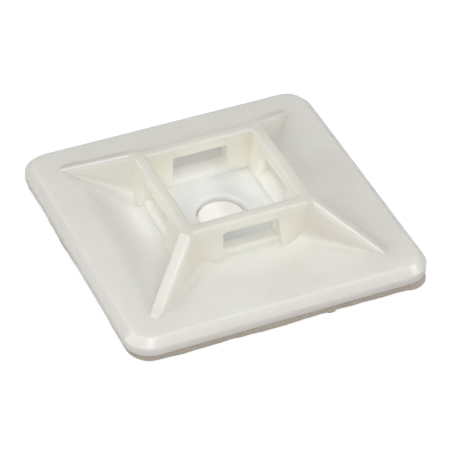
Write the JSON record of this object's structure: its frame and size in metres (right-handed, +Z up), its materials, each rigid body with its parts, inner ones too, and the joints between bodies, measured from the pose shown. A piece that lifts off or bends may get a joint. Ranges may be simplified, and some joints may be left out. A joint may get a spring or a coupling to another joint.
{
  "type": "cable tie mount",
  "caption": "Square self-adhesive mount with a raised slotted frame, corner ribs and a screw hole, which holds a cable tie to a flat surface.",
  "frame": {"origin": "middle of the underside of the foam pad", "axes": "+Z up, square to the face that the mount is stuck on; X and Y along the plate's edges"},
  "size_m": [0.028, 0.028, 0.0061],
  "materials": {
    "natural_nylon": "milky translucent moulded nylon, satin",
    "white_foam": "fine-celled white foam, matt"
  },
  "bodies": {
    "root": {"mount_body": "natural_nylon", "foam_pad": "white_foam"}
  },
  "joints": []
}
